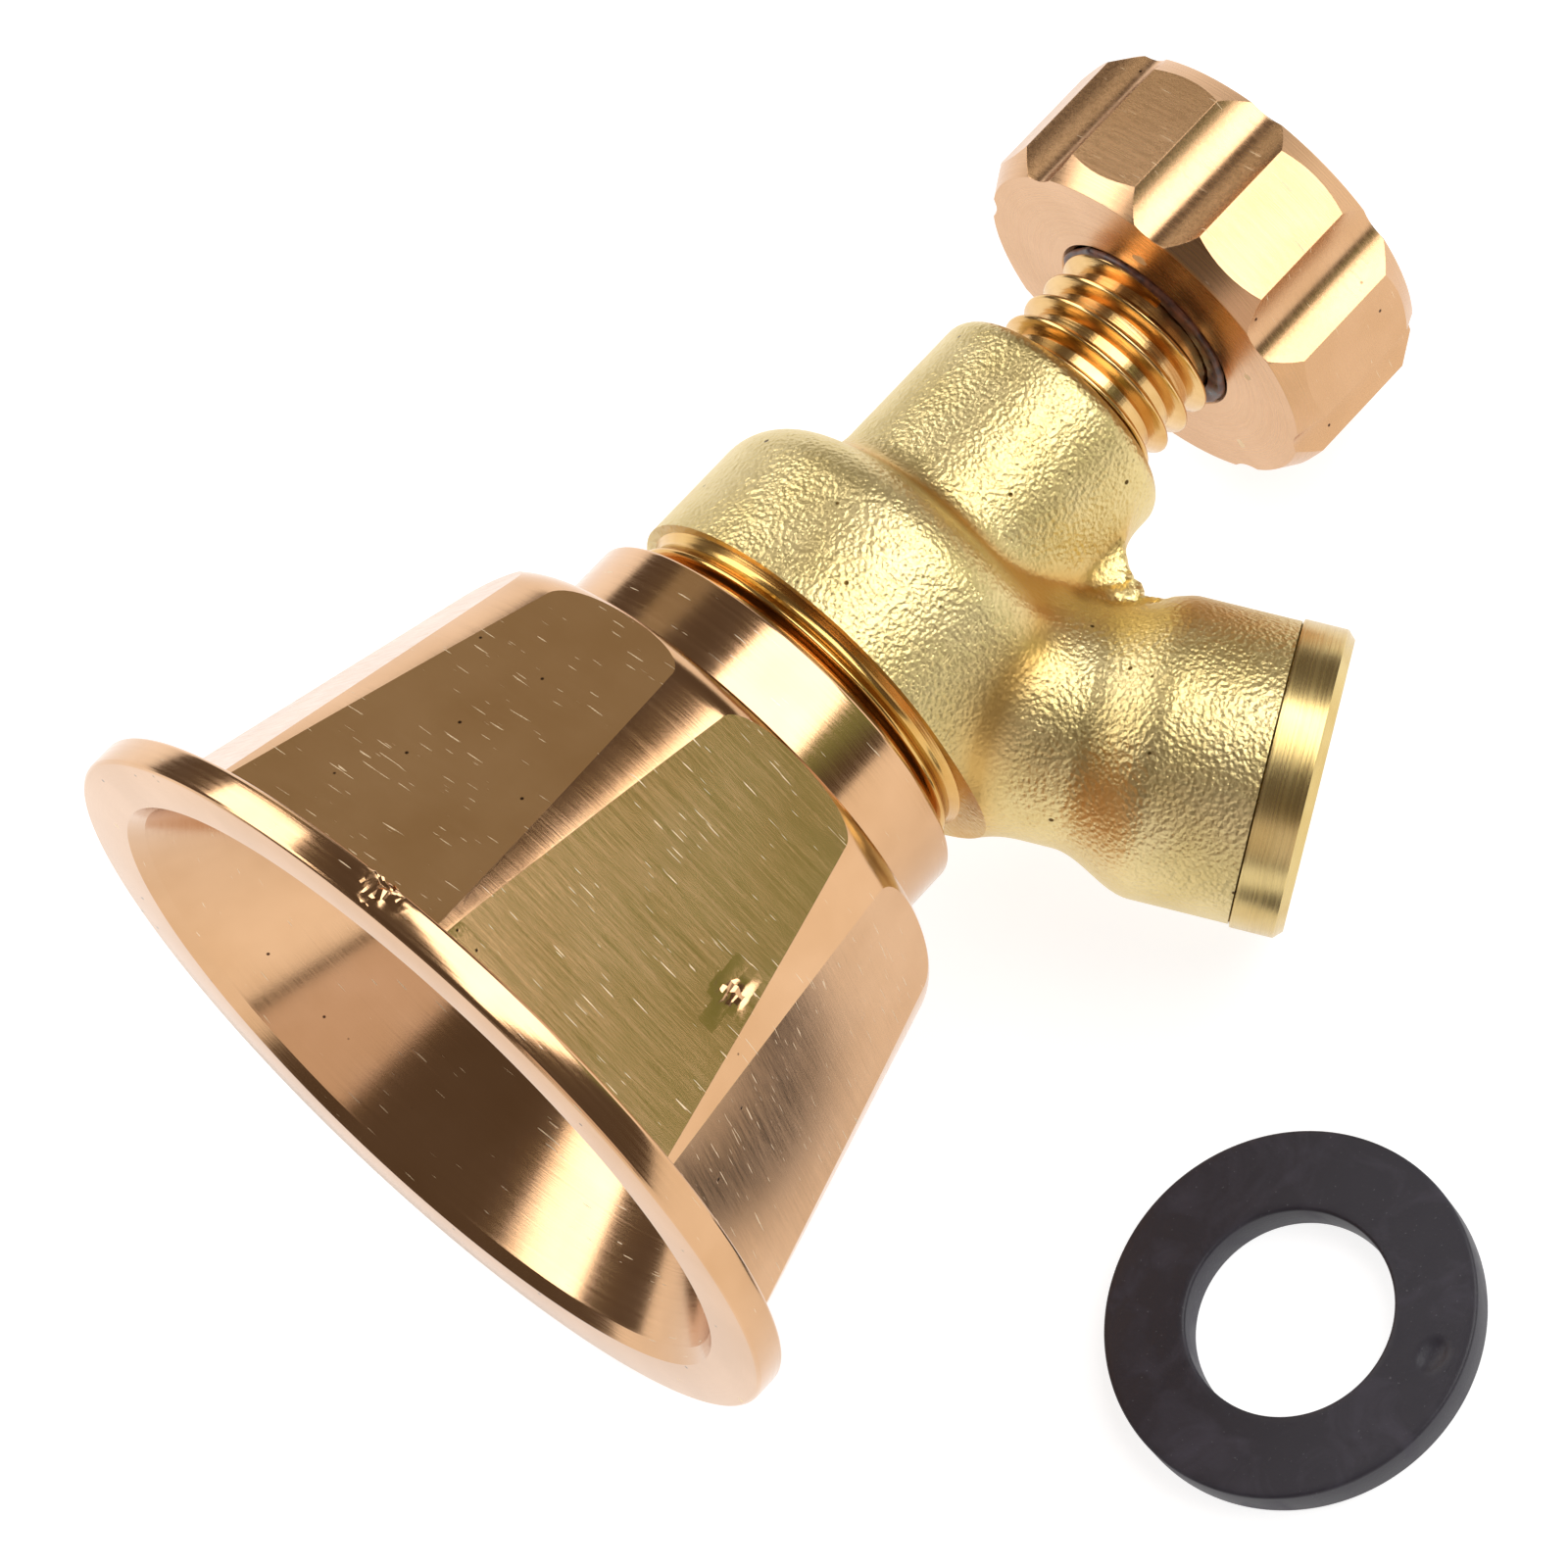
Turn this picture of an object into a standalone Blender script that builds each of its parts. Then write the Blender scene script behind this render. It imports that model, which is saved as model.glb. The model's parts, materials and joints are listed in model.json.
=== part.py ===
"""Adjustable brass spray nozzle with a wind hood, resting on its side, and its loose spare gasket.

The nozzle is modelled along its own spray axis (local +X runs from the hood's mouth to the knob), and
one empty then lays it down on the three points it rests on: hood rim, knob and inlet end. The loose
gasket lies flat beside it. Lengths below are written in millimetres and scaled to metres by MM.
"""
import math

import bmesh
import bpy
from mathutils import Matrix

MM = 0.001
GAP = 0.3 * MM                      # left between pieces that touch on the real nozzle

# Hood: stations are measured from the mouth plane along the spray axis
RIM_R = 26.0 * MM
RIM_T = 2.1 * MM
RIM_BREAK = 0.25 * MM               # broken edges of the rim
MOUTH_R = 22.4 * MM
MOUTH_BREAK = 0.7 * MM
CONE_BASE_R = 23.6 * MM
CONE_TOP_R = 17.9 * MM
CONE_TOP_X = 22.6 * MM
CROWN_R = 3.0 * MM                  # radius that turns the cone over into the crown
CROWN_X = 25.2 * MM
COLLAR_R = 13.4 * MM
COLLAR_END = 30.7 * MM
FLAT_COUNT = 8
FLAT_TURN = 20.0                    # degrees from straight up to the nearest corner
FLAT_BASE = 21.9 * MM               # distance of a flat from the axis at the rim
FLAT_TOP = 17.0 * MM                # and at the crown
BELL_FLOOR_X = 17.5 * MM
BELL_FLOOR_R = 12.0 * MM
THROAT_R = 7.5 * MM
SEAT_X = 19.5 * MM
POCKET_R = 11.3 * MM
POCKET_END = 23.5 * MM
SOCKET_R = 12.05 * MM
HOOD_PITCH = 1.5 * MM

# Orifice disc and gaskets
DISC_R = 10.9 * MM
DISC_T = 1.2 * MM
ORIFICE_R = 0.75 * MM
GASKET_R = 11.1 * MM
GASKET_HOLE_R = 6.2 * MM
GASKET_T = 2.4 * MM
LOOSE_GASKET_AT = (20.5 * MM, -40.8 * MM)    # from the point under the mouth's centre

# Forged body
SPIGOT_END = 24.2 * MM
SPIGOT_ROOT_R = 11.0 * MM
SPIGOT_CREST_R = 11.85 * MM
BAND_X = 31.0 * MM
BAND_R = 11.8 * MM
BARREL_X = 33.4 * MM
BARREL_R = 12.4 * MM
BARREL_END = 43.6 * MM
BARREL_ROUND = 3.6 * MM
NECK_R = 8.0 * MM
NECK_END = 56.0 * MM
NECK_ROUND = 1.3 * MM
CHAMBER_R = 7.6 * MM
CHAMBER_END = 40.8 * MM
CYLINDER_R = 6.7 * MM
CYLINDER_END = 50.5 * MM
STEM_BORE_R = 6.15 * MM

# Inlet branch, measured from the spray axis along the branch's own axis
INLET_X = 34.8 * MM
INLET_ANGLE = math.radians(63.0)    # between the branch and the knob end of the spray axis
BRANCH_R = 7.2 * MM
BOSS_START = 16.0 * MM
BOSS_FULL = 20.0 * MM
BOSS_R = 9.0 * MM
RING_START = 26.4 * MM
RING_R = 9.17 * MM
INLET_LENGTH = 29.6 * MM
INLET_BREAK = 0.5 * MM
INLET_SOCKET_R = 6.25 * MM
INLET_SOCKET_DEPTH = 10.0 * MM
INLET_DRILL_R = 2.2 * MM
WEB_END_X = 52.8 * MM               # thin web in the corner between neck and branch
WEB_TIP_X = 49.4 * MM
WEB_TIP_Y = 13.0 * MM
WEB_T = 3.6 * MM
INLET_WASHER_R = 5.9 * MM
INLET_WASHER_HOLE_R = 3.0 * MM
INLET_WASHER_T = 1.8 * MM

# Spindle, its swirl core and its rings
STEM_PITCH = 1.75 * MM
STEM_CREST_R = 5.9 * MM
STEM_ROOT_R = 4.95 * MM
THREAD_START = 50.6 * MM
THREAD_END = 64.2 * MM
SPINDLE_END = 70.5 * MM
PISTON_START = 43.8 * MM
PISTON_END = 48.6 * MM
PISTON_R = 6.5 * MM
GROOVE_R = 4.95 * MM
GROOVE_W = 1.7 * MM
RING_XS = (45.25 * MM, 47.45 * MM)
O_RING_R = 5.8 * MM
O_RING_SECTION_R = 0.78 * MM
NOSE_R = 3.0 * MM
NOSE_START = 26.2 * MM
SWIRL_START = 24.8 * MM
SWIRL_END = 32.0 * MM
SWIRL_R = 5.2 * MM
SWIRL_SLOTS = 4
SWIRL_SLOT_W = 1.6 * MM
SWIRL_SLOT_FLOOR = 3.9 * MM
SWIRL_LEAD = 30.0                   # degrees between a slot and the axis

# Knob
KNOB_X = 63.5 * MM
KNOB_LENGTH = 10.5 * MM
KNOB_R = 12.8 * MM
KNOB_FACE_R = 11.8 * MM
KNOB_CHAMFER = 1.6 * MM
KNOB_RIDGES = 8
KNOB_TURN = 38.5                    # degrees from straight up to the nearest ridge
RIDGE_HALF = 11.5                   # half the angle that one ridge's land takes, degrees
FLUTE_DEPTH = 1.25 * MM
KNOB_BORE_R = 6.1 * MM
KNOB_BORE_END = 71.0 * MM
BEAD_R = 6.9 * MM
BEAD_T = 0.6 * MM

HOOD_STEPS = 64
TURN_STEPS = 48
SMALL_STEPS = 32
RING_STEPS = 24
SHARP = math.radians(32.0)


def resting_pose():
    """Matrix that lays the nozzle on the floor, with its mouth's centre above the origin."""
    knob_contact = KNOB_X + KNOB_LENGTH - KNOB_CHAMFER
    tilt = math.atan2(RIM_R - KNOB_R, knob_contact)
    height = RIM_R * math.cos(tilt)
    drop = height - INLET_X * math.sin(tilt)
    reach = math.hypot(INLET_LENGTH, RING_R)
    droop = math.asin(drop / reach) - math.atan2(RING_R, INLET_LENGTH)
    roll = math.asin(
        (math.sin(droop) - math.sin(tilt) * math.cos(INLET_ANGLE)) / (math.cos(tilt) * math.sin(INLET_ANGLE))
    )
    lay = Matrix.Rotation(tilt, 4, "Y") @ Matrix.Rotation(roll, 4, "X")
    return Matrix.Translation((0.0, 0.0, height)) @ lay, roll


def material(name, color, metallic, roughness):
    """Principled material in a plain colour."""
    mat = bpy.data.materials.new(name)
    mat.use_nodes = True
    shader = mat.node_tree.nodes["Principled BSDF"]
    shader.inputs["Base Color"].default_value = (*color, 1.0)
    shader.inputs["Metallic"].default_value = metallic
    shader.inputs["Roughness"].default_value = roughness
    return mat


def empty(name, matrix, parent=None):
    """Empty that carries a local frame."""
    frame = bpy.data.objects.new(name, None)
    bpy.context.collection.objects.link(frame)
    frame.parent = parent
    frame.matrix_local = matrix
    return frame


def add_object(name, bm, parent, mat):
    """Turn a closed bmesh into an object with smooth round faces."""
    bmesh.ops.remove_doubles(bm, verts=bm.verts, dist=1e-6)
    bmesh.ops.recalc_face_normals(bm, faces=bm.faces)
    mesh = bpy.data.meshes.new(name)
    bm.to_mesh(mesh)
    bm.free()
    mesh.shade_smooth()
    mesh.set_sharp_from_angle(angle=SHARP)
    mesh.materials.append(mat)
    obj = bpy.data.objects.new(name, mesh)
    bpy.context.collection.objects.link(obj)
    obj.parent = parent
    return obj


def arc(center_x, center_r, radius, start, end, count):
    """Points of a round stretch of an outline, angles in degrees from +X towards +R."""
    angles = [math.radians(start + (end - start) * i / count) for i in range(count + 1)]
    return [(center_x + radius * math.cos(a), center_r + radius * math.sin(a)) for a in angles]


def turned(name, outline, parent, mat, steps=TURN_STEPS):
    """Piece turned about local X from (x, radius) points; one that misses the axis closes on itself."""
    bm = bmesh.new()
    verts = [bm.verts.new((x, 0.0, radius)) for x, radius in outline]
    solid = outline[0][1] == 0.0 and outline[-1][1] == 0.0
    following = verts[1:] if solid else verts[1:] + verts[:1]
    edges = [bm.edges.new(pair) for pair in zip(verts, following)]
    bmesh.ops.spin(
        bm, geom=verts + edges, cent=(0, 0, 0), axis=(1, 0, 0), angle=math.tau, steps=steps, use_merge=True
    )
    return add_object(name, bm, parent, mat)


def helix_ridge(name, start, end, pitch, base_r, crest_r, parent, mat, steps):
    """Right-hand thread ridge: one tooth swept along X, its foot sunk into the core."""
    half_foot = 0.46 * pitch
    half_crest = 0.09 * pitch
    tooth = [(-half_foot, base_r), (-half_crest, crest_r), (half_crest, crest_r), (half_foot, base_r)]
    bm = bmesh.new()
    verts = [bm.verts.new((start + half_foot + x, 0.0, radius)) for x, radius in tooth]
    edges = [bm.edges.new(pair) for pair in zip(verts, verts[1:] + verts[:1])]
    travel = end - start - 2.0 * half_foot
    count = round(travel / pitch * steps)
    bmesh.ops.spin(
        bm, geom=verts + edges, cent=(0, 0, 0), axis=(1, 0, 0), dvec=(travel / count, 0, 0),
        angle=math.tau * travel / pitch, steps=count,
    )
    bmesh.ops.holes_fill(bm, edges=bm.edges, sides=len(tooth))
    return add_object(name, bm, parent, mat)


def prism(name, outline, half_width, parent, mat):
    """Outline of (x, z) points extruded both ways along Y."""
    bm = bmesh.new()
    face = bm.faces.new([bm.verts.new((x, -half_width, z)) for x, z in outline])
    extruded = bmesh.ops.extrude_face_region(bm, geom=[face])
    moved = [item for item in extruded["geom"] if isinstance(item, bmesh.types.BMVert)]
    bmesh.ops.translate(bm, verts=moved, vec=(0, 2.0 * half_width, 0))
    return add_object(name, bm, parent, mat)


def guide(obj):
    """Mark a shape that only cuts or joins other shapes."""
    obj.hide_render = True
    obj.display_type = "WIRE"
    return obj


def combine(target, operation, *tools):
    """Boolean each tool with the target, in order."""
    for tool in tools:
        modifier = target.modifiers.new(operation.lower(), "BOOLEAN")
        modifier.operation = operation
        modifier.object = guide(tool)


def hood(parent, roll, mat):
    """Flared hood: rim, flatted cone, collar, bell inside and socket for the body's spigot."""
    crown_center = (CONE_TOP_X, CONE_TOP_R - CROWN_R)
    outline = [
        (0.0, MOUTH_R),
        (0.0, RIM_R - RIM_BREAK),
        (RIM_BREAK, RIM_R),
        (RIM_T - RIM_BREAK, RIM_R),
        (RIM_T, RIM_R - RIM_BREAK),
        (RIM_T, CONE_BASE_R),
        *arc(*crown_center, CROWN_R, 75.0, 30.0, 4),
        (CROWN_X, COLLAR_R),
        (COLLAR_END, COLLAR_R),
        (COLLAR_END, SOCKET_R),
        (POCKET_END, SOCKET_R),
        (POCKET_END, POCKET_R),
        (SEAT_X, POCKET_R),
        (SEAT_X, THROAT_R),
        (BELL_FLOOR_X, THROAT_R),
        (BELL_FLOOR_X, BELL_FLOOR_R),
        (MOUTH_BREAK, MOUTH_R - MOUTH_BREAK),
    ]
    piece = turned("hood", outline, parent, mat, HOOD_STEPS)
    out = 6.0 * MM
    slab = [(RIM_T, FLAT_BASE), (CROWN_X, FLAT_TOP), (CROWN_X, RIM_R + out), (RIM_T, RIM_R + out)]
    half_width = FLAT_BASE * math.tan(math.pi / FLAT_COUNT) + 0.4 * MM
    for index in range(FLAT_COUNT):
        cutter = prism(f"flat_cutter_{index}", slab, half_width, parent, mat)
        angle = math.radians(FLAT_TURN + (index + 0.5) * 360.0 / FLAT_COUNT) - roll
        cutter.matrix_local = Matrix.Rotation(angle, 4, "X")
        combine(piece, "DIFFERENCE", cutter)
    return piece


def body(parent, inlet_frame, mat):
    """Forged body: threaded spigot, barrel, neck and inlet branch, drilled through."""
    barrel_x = BARREL_END - BARREL_ROUND
    outer = [
        (SPIGOT_END, 0.0),
        (SPIGOT_END, SPIGOT_ROOT_R),
        (BAND_X, SPIGOT_ROOT_R),
        (BAND_X, BAND_R),
        (BARREL_X, BAND_R),
        (BARREL_X, BARREL_R),
        *arc(barrel_x, BARREL_R - BARREL_ROUND, BARREL_ROUND, 90.0, 10.0, 5),
        (BARREL_END, NECK_R),
        *arc(NECK_END - NECK_ROUND, NECK_R - NECK_ROUND, NECK_ROUND, 90.0, 0.0, 3),
        (NECK_END, 0.0),
    ]
    piece = turned("body", outer, parent, mat)
    branch = [
        (0.0, 0.0),
        (0.0, BRANCH_R),
        (BOSS_START, BRANCH_R),
        (0.5 * (BOSS_START + BOSS_FULL), BOSS_R - 0.45 * MM),
        (BOSS_FULL, BOSS_R),
        (RING_START, BOSS_R),
        (RING_START, RING_R),
        (INLET_LENGTH - INLET_BREAK, RING_R),
        (INLET_LENGTH, RING_R - INLET_BREAK),
        (INLET_LENGTH, 0.0),
    ]
    web_outline = [(INLET_X, 0.0), (WEB_END_X, 1.0 * MM - NECK_R), (WEB_TIP_X, -WEB_TIP_Y), (INLET_X, -10.0 * MM)]
    web = prism("web", web_outline, WEB_T / 2.0, parent, mat)
    web.matrix_local = Matrix.Rotation(math.radians(-90.0), 4, "X")
    thread = helix_ridge(
        "spigot_thread", SPIGOT_END + 0.4 * MM, BAND_X + 0.3 * MM, HOOD_PITCH,
        SPIGOT_ROOT_R - 0.2 * MM, SPIGOT_CREST_R, parent, mat, SMALL_STEPS,
    )
    combine(piece, "UNION", turned("branch", branch, inlet_frame, mat), web, thread)
    beyond = 2.0 * MM
    main_bore = [
        (SPIGOT_END - beyond, 0.0),
        (SPIGOT_END - beyond, CHAMBER_R),
        (CHAMBER_END, CHAMBER_R),
        (CHAMBER_END + CHAMBER_R - CYLINDER_R, CYLINDER_R),
        (CYLINDER_END, CYLINDER_R),
        (CYLINDER_END, STEM_BORE_R),
        (NECK_END + beyond, STEM_BORE_R),
        (NECK_END + beyond, 0.0),
    ]
    inlet_floor = INLET_LENGTH - INLET_SOCKET_DEPTH
    inlet_bore = [
        (2.0 * MM, 0.0),
        (2.0 * MM, INLET_DRILL_R),
        (inlet_floor, INLET_DRILL_R),
        (inlet_floor, INLET_SOCKET_R),
        (INLET_LENGTH - INLET_BREAK, INLET_SOCKET_R),
        (INLET_LENGTH + beyond, INLET_SOCKET_R + INLET_BREAK + beyond),
        (INLET_LENGTH + beyond, 0.0),
    ]
    combine(
        piece, "DIFFERENCE",
        turned("main_bore", main_bore, parent, mat, SMALL_STEPS),
        turned("inlet_bore", inlet_bore, inlet_frame, mat, SMALL_STEPS),
    )
    return piece


def spindle(parent, mat):
    """Adjusting spindle: nose for the swirl core, grooved piston and threaded stem."""
    outline = [(NOSE_START, 0.0), (NOSE_START, NOSE_R), (PISTON_START, NOSE_R), (PISTON_START, PISTON_R)]
    for center in RING_XS:
        near = center - GROOVE_W / 2.0
        far = center + GROOVE_W / 2.0
        outline += [(near, PISTON_R), (near, GROOVE_R), (far, GROOVE_R), (far, PISTON_R)]
    outline += [
        (PISTON_END, PISTON_R),
        (PISTON_END, STEM_ROOT_R),
        (SPINDLE_END - 0.8 * MM, STEM_ROOT_R),
        (SPINDLE_END, STEM_ROOT_R - 0.8 * MM),
        (SPINDLE_END, 0.0),
    ]
    piece = turned("spindle", outline, parent, mat, SMALL_STEPS)
    thread = helix_ridge(
        "stem_thread", THREAD_START, THREAD_END, STEM_PITCH,
        STEM_ROOT_R - 0.15 * MM, STEM_CREST_R, parent, mat, SMALL_STEPS,
    )
    combine(piece, "UNION", thread)
    return piece


def swirl_core(parent, mat):
    """Slotted sleeve on the spindle's nose that spins the water before the orifice."""
    bore = NOSE_R + 0.15 * MM
    break_edge = 0.9 * MM
    outline = [
        (SWIRL_START, 0.0),
        (SWIRL_START, SWIRL_R - break_edge),
        (SWIRL_START + break_edge, SWIRL_R),
        (SWIRL_END, SWIRL_R),
        (SWIRL_END, bore),
        (NOSE_START - GAP, bore),
        (NOSE_START - GAP, 0.0),
    ]
    piece = turned("swirl_core", outline, parent, mat, SMALL_STEPS)
    middle = 0.5 * (SWIRL_START + SWIRL_END)
    reach = 8.0 * MM
    slot = [(-reach, SWIRL_SLOT_FLOOR), (reach, SWIRL_SLOT_FLOOR), (reach, reach), (-reach, reach)]
    for index in range(SWIRL_SLOTS):
        cutter = prism(f"swirl_slot_{index}", slot, SWIRL_SLOT_W / 2.0, parent, mat)
        around = Matrix.Rotation(math.tau * index / SWIRL_SLOTS, 4, "X")
        lead = Matrix.Rotation(math.radians(SWIRL_LEAD), 4, "Z")
        cutter.matrix_local = Matrix.Translation((middle, 0, 0)) @ around @ lead
        combine(piece, "DIFFERENCE", cutter)
    return piece


def knob(parent, roll, mat):
    """Round knob with eight ridges, bored for the spindle."""
    bm = bmesh.new()
    rim = []
    step = 360.0 / KNOB_RIDGES
    flute_points = 5
    for index in range(KNOB_RIDGES):
        middle = index * step
        rim += [(middle + part * RIDGE_HALF, KNOB_R) for part in (-1.0, 0.0, 1.0)]
        for count in range(1, flute_points + 1):
            part = count / (flute_points + 1)
            angle = middle + RIDGE_HALF + part * (step - 2.0 * RIDGE_HALF)
            rim.append((angle, KNOB_R - FLUTE_DEPTH * math.sin(math.pi * part)))
    verts = []
    for angle, radius in rim:
        turn = math.radians(KNOB_TURN + angle) - roll
        verts.append(bm.verts.new((KNOB_X, -radius * math.sin(turn), radius * math.cos(turn))))
    face = bm.faces.new(verts)
    extruded = bmesh.ops.extrude_face_region(bm, geom=[face])
    moved = [item for item in extruded["geom"] if isinstance(item, bmesh.types.BMVert)]
    bmesh.ops.translate(bm, verts=moved, vec=(KNOB_LENGTH, 0, 0))
    piece = add_object("knob", bm, parent, mat)
    back = KNOB_X + KNOB_LENGTH
    over = 0.01 * MM
    envelope = [
        (KNOB_X - over, 0.0),
        (KNOB_X - over, KNOB_FACE_R),
        (KNOB_X + KNOB_CHAMFER, KNOB_R + over),
        (back - KNOB_CHAMFER, KNOB_R + over),
        (back + over, KNOB_FACE_R),
        (back + over, 0.0),
    ]
    combine(piece, "INTERSECT", turned("knob_envelope", envelope, parent, mat))
    bore = [
        (KNOB_X - 1.0 * MM, 0.0),
        (KNOB_X - 1.0 * MM, KNOB_BORE_R),
        (KNOB_BORE_END, KNOB_BORE_R),
        (KNOB_BORE_END, 0.0),
    ]
    combine(piece, "DIFFERENCE", turned("knob_bore", bore, parent, mat, SMALL_STEPS))
    return piece


def flat_ring(name, start, thickness, hole, outside, parent, mat, steps=SMALL_STEPS):
    """Flat washer about local X."""
    end = start + thickness
    return turned(name, [(start, hole), (start, outside), (end, outside), (end, hole)], parent, mat, steps)


def center_on_floor(layout):
    """Shift the whole layout so that its box is centred over the origin, floor at Z = 0."""
    bpy.context.view_layer.update()
    depsgraph = bpy.context.evaluated_depsgraph_get()
    points = []
    for obj in bpy.context.collection.objects:
        if obj.type == "MESH" and not obj.hide_render:
            solid = obj.evaluated_get(depsgraph)
            points += [solid.matrix_world @ vert.co for vert in solid.data.vertices]
    middle = [0.5 * (min(p[i] for p in points) + max(p[i] for p in points)) for i in (0, 1)]
    layout.location = (-middle[0], -middle[1], 0.0)


def main():
    for obj in list(bpy.data.objects):
        bpy.data.objects.remove(obj)

    hood_brass = material("rose_brass", (0.80, 0.57, 0.36), 1.0, 0.22)
    body_brass = material("forged_brass", (0.76, 0.62, 0.29), 1.0, 0.38)
    stem_brass = material("turned_brass", (0.74, 0.50, 0.20), 1.0, 0.2)
    steel = material("stainless_steel", (0.62, 0.62, 0.60), 1.0, 0.3)
    rubber = material("black_rubber", (0.03, 0.03, 0.034), 0.0, 0.7)
    adhesive = material("thread_adhesive", (0.05, 0.02, 0.03), 0.0, 0.35)

    layout = empty("layout", Matrix.Identity(4))
    pose, roll = resting_pose()
    nozzle = empty("spray_axis", pose, layout)
    branch_turn = Matrix.Rotation(-INLET_ANGLE, 4, "Z")
    branch = empty("inlet_axis", Matrix.Translation((INLET_X, 0, 0)) @ branch_turn, nozzle)

    body(nozzle, branch, body_brass)
    washer_x = INLET_LENGTH - INLET_SOCKET_DEPTH + GAP
    flat_ring(
        "inlet_washer", washer_x, INLET_WASHER_T, INLET_WASHER_HOLE_R, INLET_WASHER_R, branch, rubber
    )

    hood(nozzle, roll, hood_brass)
    disc_x = SEAT_X + GAP
    flat_ring("orifice_disc", disc_x, DISC_T, ORIFICE_R, DISC_R, nozzle, steel)
    gasket_x = disc_x + DISC_T + GAP / 2.0
    flat_ring("hood_gasket", gasket_x, GASKET_T, GASKET_HOLE_R, GASKET_R, nozzle, rubber)

    spindle(nozzle, stem_brass)
    swirl_core(nozzle, steel)
    knob(nozzle, roll, hood_brass)
    flat_ring("thread_lock_bead", KNOB_X - BEAD_T - 0.15 * MM, BEAD_T, KNOB_BORE_R, BEAD_R, nozzle, adhesive)
    for name, center in zip(("o_ring_front", "o_ring_rear"), RING_XS):
        section = arc(center, O_RING_R, O_RING_SECTION_R, 0.0, 315.0, 7)
        turned(name, section, nozzle, rubber, RING_STEPS)

    upright = Matrix.Rotation(math.radians(-90.0), 4, "Y")
    place = Matrix.Translation((*LOOSE_GASKET_AT, 0.0))
    flat = empty("loose_gasket_axis", place @ upright, layout)
    flat_ring("loose_gasket", 0.0, GASKET_T, GASKET_HOLE_R, GASKET_R, flat, rubber, 56)

    center_on_floor(layout)


main()
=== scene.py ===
"""Adjustable brass spray nozzle with a wind hood, and its spare gasket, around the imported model.

Pieces are drawn in millimetres along the nozzle's own axis: x runs from the hood's mouth to the knob,
r is the distance from that axis, and angles run round it from local Z towards local -Y.
"""
import json
import math

import bmesh
import bpy
import numpy as np
from mathutils import Matrix, Vector, noise


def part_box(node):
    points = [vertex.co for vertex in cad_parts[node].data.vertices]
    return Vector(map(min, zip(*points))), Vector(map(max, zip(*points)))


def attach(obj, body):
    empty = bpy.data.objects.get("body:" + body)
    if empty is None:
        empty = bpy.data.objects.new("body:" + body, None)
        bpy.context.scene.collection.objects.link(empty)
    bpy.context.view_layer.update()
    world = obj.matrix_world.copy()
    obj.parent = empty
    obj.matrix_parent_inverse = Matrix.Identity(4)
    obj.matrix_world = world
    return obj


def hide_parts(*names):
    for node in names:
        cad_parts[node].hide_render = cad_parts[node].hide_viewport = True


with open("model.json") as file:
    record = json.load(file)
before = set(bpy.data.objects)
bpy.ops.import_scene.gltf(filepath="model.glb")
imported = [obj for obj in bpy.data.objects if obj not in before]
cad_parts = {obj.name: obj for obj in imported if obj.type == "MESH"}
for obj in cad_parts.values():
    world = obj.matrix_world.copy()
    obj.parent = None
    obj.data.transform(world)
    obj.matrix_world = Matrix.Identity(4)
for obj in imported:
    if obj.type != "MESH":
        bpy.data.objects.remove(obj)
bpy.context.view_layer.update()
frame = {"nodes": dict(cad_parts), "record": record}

# ---------------------------------------------------------------------------------------------------
# Forged body: barrel, neck and inlet branch of hot-forged brass, blasted to a fine pebble grain. The
# dies leave wide fillets, a thin web between neck and branch, and a parting line along that web.
# ---------------------------------------------------------------------------------------------------
MM = 0.001
mounts = {mount["name"]: mount for mount in frame["record"]["mounts"]}
spray_dir = Vector(mounts["knob_back_face"]["axis"])
knob_back = Vector(mounts["knob_back_face"]["pos_m"])
rim_point = Vector(mounts["hood_rim_face"]["pos_m"])
inlet_dir = Vector(mounts["inlet_end_face"]["axis"])
inlet_point = Vector(mounts["inlet_end_face"]["pos_m"])
mouth = knob_back + spray_dir * (rim_point - knob_back).dot(spray_dir)
slant = spray_dir.dot(inlet_dir)                     # cosine of the angle between the two axes
side_dir = (spray_dir * slant - inlet_dir).normalized()
top_dir = spray_dir.cross(side_dir)
lie = Matrix((spray_dir, side_dir, top_dir)).transposed()
spray_frame = Matrix.Translation(mouth) @ lie.to_4x4() @ Matrix.Scale(MM, 4)

INLET_LENGTH = 29.6
cross_x = ((inlet_point - mouth).dot(inlet_dir) / MM - INLET_LENGTH) / slant
branch_turn = Matrix.Rotation(-math.acos(slant), 4, "Z")
branch_frame = spray_frame @ Matrix.Translation((cross_x, 0, 0)) @ branch_turn

BARREL = (33.4, 43.6, 12.4, 3.6)                     # start, end, radius, round of the far edge
NECK = (30.0, 56.0, 8.0, 1.3)
BRANCH_R = 7.2
BOSS_R = 9.0
BOSS_STEP = (15.5, 20.5)                             # where the branch swells into the boss
CAST_END = 26.4
WEB = ((34.8, 0.0), (34.8, -10.0), (49.0, -12.6), (52.4, -7.0))
WEB_HALF = 1.5
FILLET = 3.0
BEAD = ((44.2, -7.6, 1.7), (50.0, -11.0, 1.5), 0.42)     # parting line: from, to, radius
SCAR = ((46.6, -7.6, 1.9), (47.8, -9.7, 2.1), 0.26)      # flash left across it
WEB_TIP = (50.6, -11.2)
VOXEL = 0.30


def arc(center_x, center_r, radius, start, end, count):
    """Points of a round stretch of an outline, angles in degrees from +x towards +r."""
    angles = [math.radians(start + (end - start) * i / count) for i in range(count + 1)]
    return [(center_x + radius * math.cos(a), center_r + radius * math.sin(a)) for a in angles]


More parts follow.
